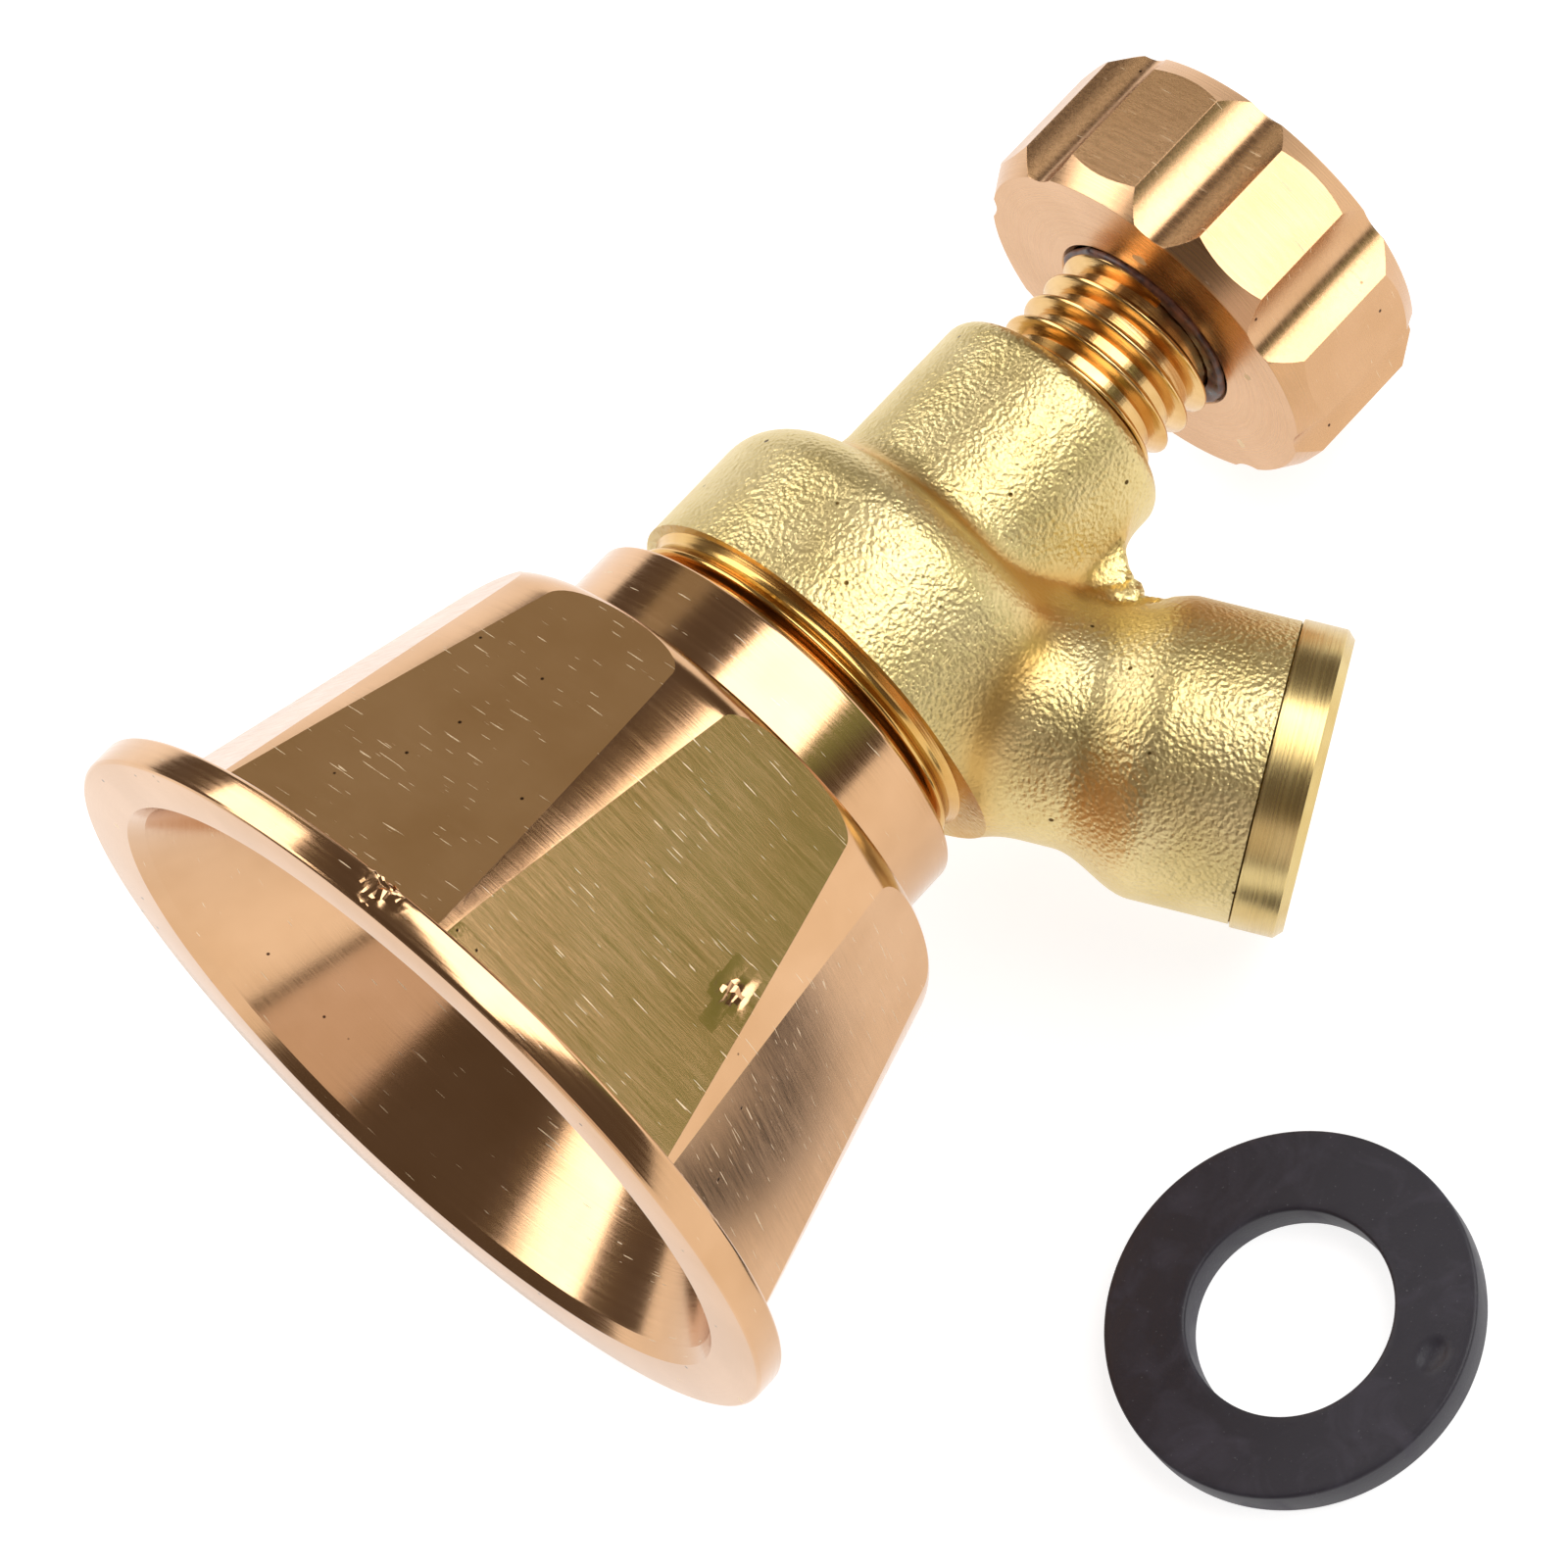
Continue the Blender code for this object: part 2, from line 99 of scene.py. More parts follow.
def turned(outline, steps):
    """Closed bmesh turned about x from (x, r) points; one that misses the axis closes on itself."""
    bm = bmesh.new()
    verts = [bm.verts.new((x, 0.0, r)) for x, r in outline]
    solid = outline[0][1] == 0.0 and outline[-1][1] == 0.0
    following = verts[1:] if solid else verts[1:] + verts[:1]
    edges = [bm.edges.new(pair) for pair in zip(verts, following)]
    bmesh.ops.spin(
        bm, geom=verts + edges, cent=(0, 0, 0), axis=(1, 0, 0), angle=math.tau, steps=steps, use_merge=True
    )
    bmesh.ops.remove_doubles(bm, verts=bm.verts, dist=1e-4)
    bmesh.ops.recalc_face_normals(bm, faces=bm.faces)
    return bm


def shade(mesh, sharp_angle):
    """Smooth faces that break only along real edges."""
    mesh.shade_smooth()
    mesh.set_sharp_from_angle(angle=math.radians(sharp_angle))


def placed(name, bm, place, finish=None, sharp_angle=30.0):
    """Object at the origin whose mesh lies where the local frame puts it."""
    bmesh.ops.transform(bm, matrix=place, verts=bm.verts)
    mesh = bpy.data.meshes.new(name)
    bm.to_mesh(mesh)
    bm.free()
    shade(mesh, sharp_angle)
    if finish:
        mesh.materials.append(finish)
    piece = bpy.data.objects.new(name, mesh)
    bpy.context.collection.objects.link(piece)
    return piece


def apply_modifiers(piece):
    """Keep the mesh that the modifiers make, and drop the modifiers."""
    depsgraph = bpy.context.evaluated_depsgraph_get()
    mesh = bpy.data.meshes.new_from_object(piece.evaluated_get(depsgraph))
    piece.modifiers.clear()
    piece.data = mesh


def combine(piece, operation, *tools):
    """Cut or join the piece with closed tools, which are used up."""
    for tool in tools:
        modifier = piece.modifiers.new(operation.lower(), "BOOLEAN")
        modifier.operation = operation
        modifier.solver = "MANIFOLD"
        modifier.object = tool
    apply_modifiers(piece)
    for tool in tools:
        bpy.data.objects.remove(tool)


def local_points(mesh, place):
    """The mesh's points in a local frame's millimetres, as an array."""
    points = np.empty(len(mesh.vertices) * 3, np.float32)
    mesh.vertices.foreach_get("co", points)
    back = np.array(place.inverted())
    return points.reshape(-1, 3).astype(float) @ back[:3, :3].T + back[:3, 3]


def move_points(mesh, place, points):
    """Put the mesh's points back from a local frame."""
    there = np.array(place)
    moved = points @ there[:3, :3].T + there[:3, 3]
    mesh.vertices.foreach_set("co", moved.astype(np.float32).ravel())
    mesh.update()


def blend_min(a, b, width):
    """The nearer of two surfaces, with a fillet of that width where they meet."""
    share = np.clip(0.5 + 0.5 * (b - a) / width, 0.0, 1.0)
    return b + (a - b) * share - width * share * (1.0 - share)


def round_bar(x, r, start, end, radius, rounding):
    """Distance to a bar about the axis whose end edges are rounded."""
    along = np.abs(x - 0.5 * (start + end)) - 0.5 * (end - start) + rounding
    across = r - radius + rounding
    outside = np.hypot(np.maximum(along, 0.0), np.maximum(across, 0.0))
    return np.minimum(np.maximum(along, across), 0.0) + outside - rounding


def capsule(points, start, end, radius):
    """Distance to a straight bead with round ends."""
    start, end = np.array(start), np.array(end)
    run = end - start
    share = np.clip((points - start) @ run / (run @ run), 0.0, 1.0)
    return np.linalg.norm(points - start - share[:, None] * run, axis=1) - radius


def forging_parts(points):
    """Distances to barrel, neck, branch and web, each on its own."""
    x, y, z = points.T
    r = np.hypot(y, z)
    barrel = round_bar(x, r, BARREL[0] - 5.0, *BARREL[1:])
    neck = round_bar(x, r, *NECK)
    out = np.array((slant, -math.sqrt(1.0 - slant * slant), 0.0))
    from_cross = points - np.array((cross_x, 0.0, 0.0))
    t = from_cross @ out
    s = np.linalg.norm(from_cross - t[:, None] * out, axis=1)
    swell = np.clip((t - BOSS_STEP[0]) / (BOSS_STEP[1] - BOSS_STEP[0]), 0.0, 1.0)
    branch = s - BRANCH_R - (BOSS_R - BRANCH_R) * swell * swell * (3.0 - 2.0 * swell)
    branch = np.maximum(branch, np.maximum(-t, t - CAST_END - 2.0))
    web = np.abs(z) - WEB_HALF
    for (ax, ay), (bx, by) in zip(WEB, WEB[1:] + WEB[:1]):
        length = math.hypot(bx - ax, by - ay)
        web = np.maximum(web, ((by - ay) * (ax - x) + (bx - ax) * (y - ay)) / -length)
    return barrel, neck, branch, web


def forging(points):
    """Distance to the forging's skin: its parts melt into each other through the fillets."""
    barrel, neck, branch, web = forging_parts(points)
    skin = blend_min(blend_min(barrel, neck, 0.8 * FILLET), branch, FILLET)
    skin = blend_min(skin, web, 0.6 * FILLET)
    skin = blend_min(skin, capsule(points, *BEAD), 0.5)
    return blend_min(skin, capsule(points, *SCAR), 0.3)


def settle(points, rounds):
    """Slide points onto the forging's skin."""
    reach = 0.05
    for _ in range(rounds):
        steps = [np.array(offset) for offset in np.eye(3) * reach]
        slope = np.stack([forging(points + s) - forging(points - s) for s in steps], axis=1) / (2.0 * reach)
        size = np.maximum((slope * slope).sum(axis=1), 0.2)
        points = points - slope * (forging(points) / size)[:, None]
    return points


def bar(start, end, radius):
    """Plain bar about x, drawn a little short of its outline."""
    return turned([(start, 0.0), (start, radius), (end, radius), (end, 0.0)], 48)


casting = placed("forged_body", bar(BARREL[0] - 4.8, BARREL[1] - 0.5, BARREL[2] - 0.5), spray_frame)
neck_bar = placed("neck_bar", bar(NECK[0], NECK[1] - 0.3, NECK[2] - 0.2), spray_frame)
branch_bar = placed("branch_bar", bar(0.0, CAST_END + 1.8, BRANCH_R), branch_frame)
web_bm = bmesh.new()
web_face = web_bm.faces.new([web_bm.verts.new((x, y, -WEB_HALF)) for x, y in WEB])
lifted = bmesh.ops.extrude_face_region(web_bm, geom=[web_face])["geom"]
web_top = [item for item in lifted if isinstance(item, bmesh.types.BMVert)]
bmesh.ops.translate(web_bm, verts=web_top, vec=(0, 0, 2.0 * WEB_HALF))
bmesh.ops.recalc_face_normals(web_bm, faces=web_bm.faces)
combine(casting, "UNION", neck_bar, branch_bar, placed("web", web_bm, spray_frame))
voxels = casting.modifiers.new("voxels", "REMESH")
voxels.mode = "VOXEL"
voxels.voxel_size = VOXEL * MM
apply_modifiers(casting)

for _ in range(3):
    points = settle(local_points(casting.data, spray_frame), 3)
    move_points(casting.data, spray_frame, points)
    relaxed = bmesh.new()
    relaxed.from_mesh(casting.data)
    bmesh.ops.smooth_vert(relaxed, verts=relaxed.verts, factor=0.5, use_axis_x=True, use_axis_y=True, use_axis_z=True)
    relaxed.to_mesh(casting.data)
    relaxed.free()
points = settle(local_points(casting.data, spray_frame), 4)

# The web's tip was ground rough where the flash was trimmed off
tip_range = np.hypot(points[:, 0] - WEB_TIP[0], points[:, 1] - WEB_TIP[1])
for index in np.nonzero(tip_range < 2.6)[0]:
    at = Vector(points[index])
    fade = min(1.0, 2.0 * (1.0 - tip_range[index] / 2.6))
    points[index] += np.array(noise.noise_vector(at * 2.3)) * 0.30 * fade
move_points(casting.data, spray_frame, points)

FRONT_CUT = [(20.0, 0.0), (20.0, 40.0), (BARREL[0], 40.0), (BARREL[0], 0.0)]
MAIN_BORE = [(30.0, 0.0), (30.0, 7.6), (40.8, 7.6), (41.7, 6.7), (50.5, 6.7), (50.5, 6.15), (58.0, 6.15), (58.0, 0.0)]
INLET_CUT = [(CAST_END, 0.0), (CAST_END, 14.0), (CAST_END + 6.0, 14.0), (CAST_END + 6.0, 0.0)]
INLET_BORE = [(2.0, 0.0), (2.0, 2.2), (19.6, 2.2), (19.6, 6.35), (30.0, 6.35), (30.0, 0.0)]
combine(
    casting, "DIFFERENCE",
    placed("front_cut", turned(FRONT_CUT, 64), spray_frame),
    placed("main_bore", turned(MAIN_BORE, 64), spray_frame),
    placed("inlet_cut", turned(INLET_CUT, 64), branch_frame),
    placed("inlet_bore", turned(INLET_BORE, 64), branch_frame),
)
shade(casting.data, 40.0)

points = local_points(casting.data, spray_frame)
barrel, neck, branch, web = forging_parts(points)
hard_min = np.minimum(np.minimum(barrel, neck), np.minimum(branch, web))
# How deep each point sits in a fillet: it smooths the grain there and darkens its colour as painted shade
fillet_depth = np.clip((hard_min - forging(points)) / (0.2 * FILLET), 0.0, 1.0)
tip_range = np.hypot(points[:, 0] - WEB_TIP[0], points[:, 1] - WEB_TIP[1])
ground_share = np.clip(2.0 * (1.0 - tip_range / 2.6), 0.0, 1.0)
for attribute_name, values in (("fillet", fillet_depth), ("ground", ground_share)):
    attribute = casting.data.attributes.new(attribute_name, "FLOAT", "POINT")
    attribute.data.foreach_set("value", values.astype(np.float32))


def linear(code):
    """Linear colour of an sRGB hex value such as "C8902F"."""
    parts = [int(code[i:i + 2], 16) / 255.0 for i in (0, 2, 4)]
    return (*[c / 12.92 if c <= 0.04045 else ((c + 0.055) / 1.055) ** 2.4 for c in parts], 1.0)


def add(tree, kind, inputs, **settings):
    """Add a node with its settings; each input is a value or the socket it is linked from."""
    made = tree.nodes.new("ShaderNode" + kind)
    for name, value in settings.items():
        setattr(made, name, value)
    for name, value in inputs.items():
        if isinstance(value, bpy.types.NodeSocket):
            tree.links.new(value, made.inputs[name])
        else:
            made.inputs[name].default_value = value
    return made


def new_finish(name, metallic):
    """Empty Principled material: its node tree and its shader."""
    finish = bpy.data.materials.new(name)
    finish.use_nodes = True
    shader = finish.node_tree.nodes["Principled BSDF"]
    shader.inputs["Metallic"].default_value = metallic
    return finish, finish.node_tree, shader


def millimetres(tree, place):
    """Object coordinates in a local frame's own millimetres."""
    located, turn, scale = place.decompose()
    source = add(tree, "TexCoord", {})
    inputs = {
        "Vector": source.outputs["Object"],
        "Location": located,
        "Rotation": turn.to_euler(),
        "Scale": scale,
    }
    return add(tree, "Mapping", inputs, vector_type="TEXTURE").outputs["Vector"]


def ramp(tree, value, low, high, start=0.0, end=1.0):
    """Straight ramp of a value between two levels, held level outside them."""
    inputs = {"Value": value, "From Min": low, "From Max": high, "To Min": start, "To Max": end}
    return add(tree, "MapRange", inputs).outputs["Result"]


def mixed(tree, share, first, second):
    """Colour between two others by a share."""
    return add(tree, "Mix", {0: share, 6: first, 7: second}, data_type="RGBA").outputs[2]


def product(tree, first, second):
    """Product of two numbers."""
    return add(tree, "Math", {0: first, 1: second}, operation="MULTIPLY").outputs[0]


# Forging brass, blasted with fine shot: a pale yellow gold pebbled skin that glitters, with smoother fillets where the
# shot reaches badly, their colour darkened and warmed as painted shade, and a torn bright patch where the web was
# ground.
GRAIN = 0.27                                         # size of one pebble of the blasted skin
FINE_GRAIN = 0.14
blasted, tree, shader = new_finish("blasted_forging_brass", 1.0)
spot = millimetres(tree, spray_frame)
pebbles = add(tree, "TexVoronoi", {"Vector": spot, "Scale": 1.0 / GRAIN}, feature="SMOOTH_F1")
fine = add(tree, "TexNoise", {"Vector": spot, "Scale": 1.0 / FINE_GRAIN, "Detail": 2.0})
cloud = add(tree, "TexNoise", {"Vector": spot, "Scale": 1.0 / 5.0, "Detail": 3.0})
fillet_shade_and_smoothing = add(tree, "Attribute", {}, attribute_name="fillet").outputs["Fac"]
on_ground = add(tree, "Attribute", {}, attribute_name="ground").outputs["Fac"]
specks = add(tree, "TexVoronoi", {"Vector": spot, "Scale": 1.0 / 2.6})
speck = ramp(tree, specks.outputs["Distance"], 0.045, 0.07, 1.0, 0.0)
skin = mixed(tree, ramp(tree, cloud.outputs["Fac"], 0.35, 0.65), linear("E6D29A"), linear("DCC688"))
# Painted shade: the concave fillets take a darker, warmer brass colour
skin = mixed(tree, fillet_shade_and_smoothing, skin, linear("D6AE66"))
skin = mixed(tree, on_ground, skin, linear("F2DC9C"))
skin = mixed(tree, speck, skin, linear("5A4420"))
tree.links.new(skin, shader.inputs["Base Color"])
rough = ramp(tree, fine.outputs["Fac"], 0.3, 0.7, 0.31, 0.43)
tree.links.new(rough, shader.inputs["Roughness"])
grain = add(
    tree, "Math", {0: pebbles.outputs["Distance"], 1: product(tree, fine.outputs["Fac"], 0.45)}, operation="ADD"
).outputs[0]
grain = product(tree, grain, ramp(tree, fillet_shade_and_smoothing, 0.1, 0.9, 1.0, 0.3))
relief = add(tree, "Bump", {"Height": grain, "Strength": 0.8, "Distance": 0.095 * MM})
tree.links.new(relief.outputs["Normal"], shader.inputs["Normal"])
casting.data.materials.clear()
casting.data.materials.append(blasted)
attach(casting, "nozzle")
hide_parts("body")

# ---------------------------------------------------------------------------------------------------
# Spigot: the turned front end of the forging, with the M24 x 1.5 thread that carries the hood. Bare
# machined brass; between hood and barrel it is a narrow waist with the thread's last crest round it.
# ---------------------------------------------------------------------------------------------------
SPIGOT_END = 24.2
SPIGOT_ROOT_R = 11.0
SPIGOT_CREST_R = 11.85
HOOD_PITCH = 1.5
waist = [
    (SPIGOT_END + 6.4, 11.0),
    *arc(31.15, 11.85, 0.62, 250.0, 330.0, 6),
    *arc(32.02, 11.62, 0.2, 140.0, 40.0, 4),
    *arc(32.80, 11.95, 0.62, 215.0, 300.0, 6),
    (BARREL[0] - 0.05, 11.75),
]
spigot_outline = [
    (SPIGOT_END, 7.6), (SPIGOT_END, SPIGOT_ROOT_R - 0.5), (SPIGOT_END + 0.5, SPIGOT_ROOT_R),
    *waist, (BARREL[0] + 0.2, 11.9), (BARREL[0] + 0.2, 7.6),
]


def thread_ridge(start, end, pitch, foot_r, crest_r, steps):
    """Right-hand thread: one rounded tooth swept along x, its foot below the core's surface."""
    half_foot = 0.37 * pitch
    half_crest = 0.11 * pitch
    bulge = arc(0.0, crest_r - half_crest, half_crest, 150.0, 30.0, 4)
    tooth = [(-half_foot, foot_r), *bulge, (half_foot, foot_r)]
    bm = bmesh.new()
    verts = [bm.verts.new((start + half_foot + x, 0.0, r)) for x, r in tooth]
    edges = [bm.edges.new(pair) for pair in zip(verts, verts[1:] + verts[:1])]
    travel = end - start - 2.0 * half_foot
    count = round(travel / pitch * steps)
    bmesh.ops.spin(
        bm, geom=verts + edges, cent=(0, 0, 0), axis=(1, 0, 0), dvec=(travel / count, 0, 0),
        angle=math.tau * travel / pitch, steps=count,
    )
    bmesh.ops.holes_fill(bm, edges=bm.edges, sides=len(tooth))
    bmesh.ops.recalc_face_normals(bm, faces=bm.faces)
    return bm


def machined_brass(name, place, pale, deep, pitch_mm, roughness):
    """Bare turned brass: fine rings left by the tool at that pitch, and faint tarnish."""
    finish, tree, shader = new_finish(name, 1.0)
    spot = millimetres(tree, place)
    across = add(tree, "VectorMath", {0: spot, 1: (0.0, 1.0, 1.0)}, operation="MULTIPLY").outputs[0]
    r = add(tree, "VectorMath", {0: across}, operation="LENGTH").outputs["Value"]
    x = add(tree, "SeparateXYZ", {"Vector": spot}).outputs["X"]
    ring = add(tree, "CombineXYZ", {"X": x, "Y": r}).outputs["Vector"]
    rings = add(tree, "TexNoise", {"Vector": ring, "Scale": 1.0 / pitch_mm, "Detail": 3.0}).outputs["Fac"]
    cloud = add(tree, "TexNoise", {"Vector": spot, "Scale": 1.0 / 3.0, "Detail": 4.0}).outputs["Fac"]
    tree.links.new(mixed(tree, ramp(tree, cloud, 0.35, 0.7), linear(pale), linear(deep)), shader.inputs["Base Color"])
    tree.links.new(ramp(tree, rings, 0.3, 0.7, roughness, roughness + 0.1), shader.inputs["Roughness"])
    relief = add(tree, "Bump", {"Height": rings, "Strength": 0.35, "Distance": 0.03 * MM})
    tree.links.new(relief.outputs["Normal"], shader.inputs["Normal"])
    return finish


# Free-cutting brass, finely turned and left bare: deep amber where it mirrors itself in the grooves
amber_brass = machined_brass("turned_free_cutting_brass", spray_frame, "DDB46C", "D2A055", 0.16, 0.14)
spigot = placed("spigot", turned(spigot_outline, 128), spray_frame, amber_brass)
ridge = thread_ridge(SPIGOT_END + 0.4, 31.0, HOOD_PITCH, SPIGOT_ROOT_R - 0.2, SPIGOT_CREST_R, 64)
combine(spigot, "UNION", placed("spigot_ridge", ridge, spray_frame))
shade(spigot.data, 35.0)
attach(spigot, "nozzle")
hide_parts("body")

# ---------------------------------------------------------------------------------------------------
# Inlet end: the boss turned clean at its mouth, bevelled, and tapped with a fine female thread for the
# lance. Bare brass with the lathe's fine rings.
# ---------------------------------------------------------------------------------------------------
RING_R = 9.17
SOCKET_R = 6.25
SOCKET_DEPTH = 10.0
socket_floor = INLET_LENGTH - SOCKET_DEPTH
inlet_outline = [
    (CAST_END - 0.2, SOCKET_R + 0.75), (CAST_END - 0.2, RING_R - 0.4), (CAST_END, RING_R - 0.4),
    (CAST_END + 0.12, RING_R), (INLET_LENGTH - 0.5, RING_R), (INLET_LENGTH, RING_R - 0.5),
    (INLET_LENGTH, SOCKET_R + 0.75), (INLET_LENGTH - 0.5, SOCKET_R + 0.35),
    (INLET_LENGTH - 0.5, SOCKET_R + 0.7),
]
ring_brass = machined_brass("turned_forging_brass", branch_frame, "DCC488", "D0B474", 0.2, 0.22)
inlet_rim = placed("inlet_rim", turned(inlet_outline, 128), branch_frame, ring_brass)
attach(inlet_rim, "nozzle")
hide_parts("body")

# The tapped sleeve inside: V grooves of a fine thread, cut out of the socket's wall
SOCKET_PITCH = 1.0
socket_teeth = round((SOCKET_DEPTH - 1.2) / SOCKET_PITCH)
thread_outline = [(INLET_LENGTH - 0.45, SOCKET_R + 0.9)]
for tooth in range(socket_teeth):
    crest_x = INLET_LENGTH - 0.6 - tooth * SOCKET_PITCH
    thread_outline += [(crest_x, SOCKET_R + 0.05), (crest_x - 0.12, SOCKET_R + 0.05)]
    thread_outline += [(crest_x - 0.5 * SOCKET_PITCH, SOCKET_R + 0.62)]
thread_outline += [(socket_floor + 0.02, SOCKET_R + 0.62), (socket_floor + 0.02, SOCKET_R + 0.9)]
inlet_thread = placed("inlet_thread", turned(thread_outline, 96), branch_frame, amber_brass)
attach(inlet_thread, "nozzle")
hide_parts("body")

# ---------------------------------------------------------------------------------------------------
# Spindle: turned brass, a threaded stem that screws into the neck behind a grooved piston. Its M12 x
# 1.75 thread is rolled, with bright rounded crests.
# ---------------------------------------------------------------------------------------------------
STEM_PITCH = 1.75
STEM_CREST_R = 5.9
STEM_ROOT_R = 4.95
PISTON = (43.8, 48.6, 6.5)
RING_STATIONS = (45.25, 47.45)
GROOVE_HALF = 0.85
SPINDLE_END = 70.5
spindle_outline = [(26.2, 0.0), (26.2, 2.7), (26.5, 3.0), (PISTON[0], 3.0), (PISTON[0], PISTON[2] - 0.3)]
spindle_outline += [(PISTON[0] + 0.15, PISTON[2])]
for station in RING_STATIONS:
    near, far = station - GROOVE_HALF, station + GROOVE_HALF
    spindle_outline += [(near, PISTON[2]), (near, STEM_ROOT_R), (far, STEM_ROOT_R), (far, PISTON[2])]
spindle_outline += [
    (PISTON[1] - 0.15, PISTON[2]), (PISTON[1], PISTON[2] - 0.3), (PISTON[1], STEM_ROOT_R),
    (SPINDLE_END - 0.8, STEM_ROOT_R), (SPINDLE_END, STEM_ROOT_R - 0.8), (SPINDLE_END, 0.0),
]
stem_brass = machined_brass("rolled_free_cutting_brass", spray_frame, "E2BE84", "D2A35E", 0.13, 0.15)
spindle = placed("threaded_spindle", turned(spindle_outline, 96), spray_frame, stem_brass)
stem_ridge = thread_ridge(50.6, 64.2, STEM_PITCH, STEM_ROOT_R - 0.15, STEM_CREST_R, 96)
combine(spindle, "UNION", placed("stem_ridge", stem_ridge, spray_frame))
shade(spindle.data, 35.0)
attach(spindle, "spindle")
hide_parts("spindle")

# ---------------------------------------------------------------------------------------------------
# Hidden working parts: the slotted swirl core and the orifice disc are turned stainless steel, and the
# O-rings, hood gasket and inlet washer are black nitrile rubber. They keep their modelled shapes.
# ---------------------------------------------------------------------------------------------------
steel, tree, shader = new_finish("turned_stainless_steel", 1.0)
spot = millimetres(tree, spray_frame)
x_r = add(tree, "VectorMath", {0: spot, 1: (0.0, 1.0, 1.0)}, operation="MULTIPLY").outputs[0]
radius = add(tree, "VectorMath", {0: x_r}, operation="LENGTH").outputs["Value"]
feed = add(tree, "TexNoise", {"W": radius, "Scale": 1.0 / 0.15, "Detail": 3.0}, noise_dimensions="1D").outputs["Fac"]
tree.links.new(mixed(tree, feed, linear("C9C7C2"), linear("B5B2AC")), shader.inputs["Base Color"])
tree.links.new(ramp(tree, feed, 0.3, 0.7, 0.22, 0.34), shader.inputs["Roughness"])
tree.links.new(
    add(tree, "Bump", {"Height": feed, "Strength": 0.4, "Distance": 0.02 * MM}).outputs["Normal"],
    shader.inputs["Normal"],
)

# Nitrile rubber, moulded and dusted: a matt blue-black with paler smears where it was handled
rubber, tree, shader = new_finish("moulded_nitrile_rubber", 0.0)
spot = millimetres(tree, Matrix.Scale(MM, 4))
smear = add(tree, "TexNoise", {"Vector": spot, "Scale": 1.0 / 3.5, "Detail": 5.0, "Roughness": 0.6, "Distortion": 0.8})
dust = add(tree, "TexNoise", {"Vector": spot, "Scale": 1.0 / 0.22, "Detail": 2.0}).outputs["Fac"]
smeared = ramp(tree, smear.outputs["Fac"], 0.48, 0.72)
tone = mixed(tree, smeared, linear("2A2731"), linear("3D3945"))
lint = ramp(tree, dust, 0.70, 0.76)
tree.links.new(mixed(tree, product(tree, lint, 0.35), tone, linear("77757A")), shader.inputs["Base Color"])
tree.links.new(ramp(tree, smeared, 0.0, 1.0, 0.48, 0.66), shader.inputs["Roughness"])
tree.links.new(
    add(tree, "Bump", {"Height": dust, "Strength": 0.4, "Distance": 0.03 * MM}).outputs["Normal"],
    shader.inputs["Normal"],
)
kept_finishes = {
    "swirl_core": steel, "orifice_disc": steel, "hood_gasket": rubber, "inlet_washer": rubber,
    "o_ring_front": rubber, "o_ring_rear": rubber,
}
for node_name, finish in kept_finishes.items():
    kept = frame["nodes"][node_name].data
    kept.materials.clear()
    kept.materials.append(finish)

# ---------------------------------------------------------------------------------------------------
# Thread-lock bead: a dried, dark violet ring of adhesive squeezed out where the stem enters the knob,
# uneven and glossy.
# ---------------------------------------------------------------------------------------------------
knob_face = 63.5
bead_bm = turned(
    [(knob_face + 0.1, 5.0), (knob_face - 0.2, 5.1), *arc(knob_face, 5.88, 0.26, 180.0, 90.0, 5), (knob_face + 0.1, 6.14)],
    160,
)
for vert in bead_bm.verts:
    around = math.atan2(vert.co.z, vert.co.y)
    swell = noise.noise(Vector((3.0 * math.cos(around), 3.0 * math.sin(around), 0.4 * vert.co.x)))
    fine_swell = noise.noise(Vector((11.0 * math.cos(around), 11.0 * math.sin(around), vert.co.x)))
    stretch = 1.0 + 0.025 * swell + 0.012 * fine_swell
    vert.co.y *= stretch
    vert.co.z *= stretch
    vert.co.x -= 0.12 * max(0.0, swell)
adhesive, tree, shader = new_finish("dried_thread_adhesive", 0.0)
spot = millimetres(tree, spray_frame)
streak = add(tree, "TexNoise", {"Vector": spot, "Scale": 1.0 / 0.7, "Detail": 4.0}).outputs["Fac"]
tree.links.new(mixed(tree, ramp(tree, streak, 0.35, 0.65), linear("2E1C22"), linear("7A4A34")), shader.inputs["Base Color"])
tree.links.new(ramp(tree, streak, 0.3, 0.7, 0.25, 0.5), shader.inputs["Roughness"])
bead = placed("thread_adhesive", bead_bm, spray_frame, adhesive)
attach(bead, "spindle")
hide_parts("thread_lock_bead")

# ---------------------------------------------------------------------------------------------------
# Knob: turned from rose-coloured brass bar, with eight ridges left between milled flutes and a bevel
# at each end, bored for the stem. The same tinted lacquer as on the hood gives it its pink cast.
# ---------------------------------------------------------------------------------------------------
KNOB_X = 63.5
KNOB_LENGTH = 10.5
KNOB_R = 12.8
KNOB_FACE_R = 11.8
KNOB_BEVEL = 1.6
KNOB_RIDGES = 8
RIDGE_HALF = 11.5
FLUTE_DEPTH = 1.3
roll = math.degrees(math.asin(-top_dir.y))           # from straight up to local Z, seen along the axis
KNOB_TURN = 38.5 - roll
LAND_COLUMNS = 8
FLUTE_COLUMNS = 16
knob_columns = []
for ridge_index in range(KNOB_RIDGES):
    middle = KNOB_TURN + ridge_index * 360.0 / KNOB_RIDGES
    for column in range(LAND_COLUMNS):
        offset = RIDGE_HALF * (2.0 * column / LAND_COLUMNS - 1.0)
        flat_r = KNOB_R * math.cos(math.radians(RIDGE_HALF)) / math.cos(math.radians(offset))
        knob_columns.append((middle + offset, flat_r))
    flute_width = 360.0 / KNOB_RIDGES - 2.0 * RIDGE_HALF
    for column in range(FLUTE_COLUMNS):
        part = column / FLUTE_COLUMNS
        depth = FLUTE_DEPTH * math.sin(math.pi * part) ** 0.8
        knob_columns.append((middle + RIDGE_HALF + flute_width * part, KNOB_R - depth))


